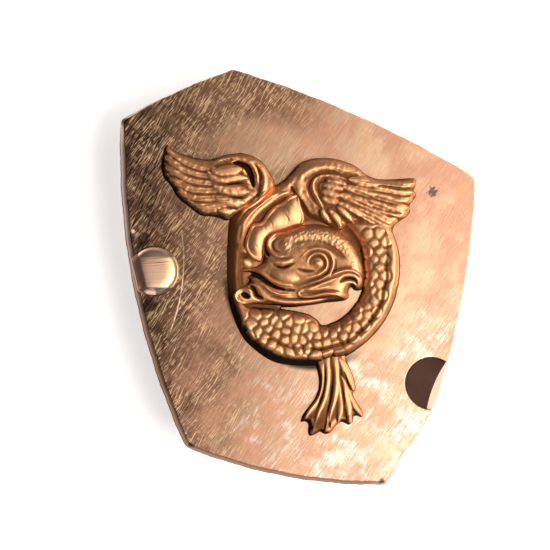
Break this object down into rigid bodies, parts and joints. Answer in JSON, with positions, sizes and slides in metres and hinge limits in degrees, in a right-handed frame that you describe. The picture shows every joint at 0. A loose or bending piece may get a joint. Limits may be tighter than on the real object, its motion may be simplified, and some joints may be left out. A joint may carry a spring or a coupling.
{
  "type": "cap badge",
  "caption": "Struck copper cap badge: a coiled winged sea serpent in relief on an untrimmed flan with register stud and socket, fixed by wire lugs and a split pin.",
  "frame": {"origin": "on the flan's back face, behind the middle of the coil", "axes": "+Z out of the badge's face, +Y towards the top of the badge, +X to the right as the face is read"},
  "size_m": [0.0519, 0.0605, 0.0123],
  "materials": {
    "flan_copper": "brushed, scratched and lightly toned copper",
    "filed_copper": "freshly filed copper",
    "relief_copper": "satin struck copper, toned brown in the recesses",
    "lug_wire": "drawn copper wire, toned",
    "braze": "matt silver-brass braze",
    "pin_brass": "bright drawn brass"
  },
  "bodies": {
    "badge": {"flan_plate": "flan_copper", "register_stud": "filed_copper", "serpent_coil": "relief_copper", "neck_frill": "relief_copper", "serpent_head": "relief_copper", "left_wing": "relief_copper", "right_wing": "relief_copper", "tail_fin": "relief_copper", "left_lug": "lug_wire", "right_lug": "lug_wire", "left_lug_braze": "braze", "right_lug_braze": "braze"},
    "pin": {"split_pin": "pin_brass"}
  },
  "joints": [
    {"name": "pin_slide", "type": "slide", "parent": "badge", "child": "pin", "axis": [-1, 0, 0], "range_m": [0, 0.0325]}
  ]
}
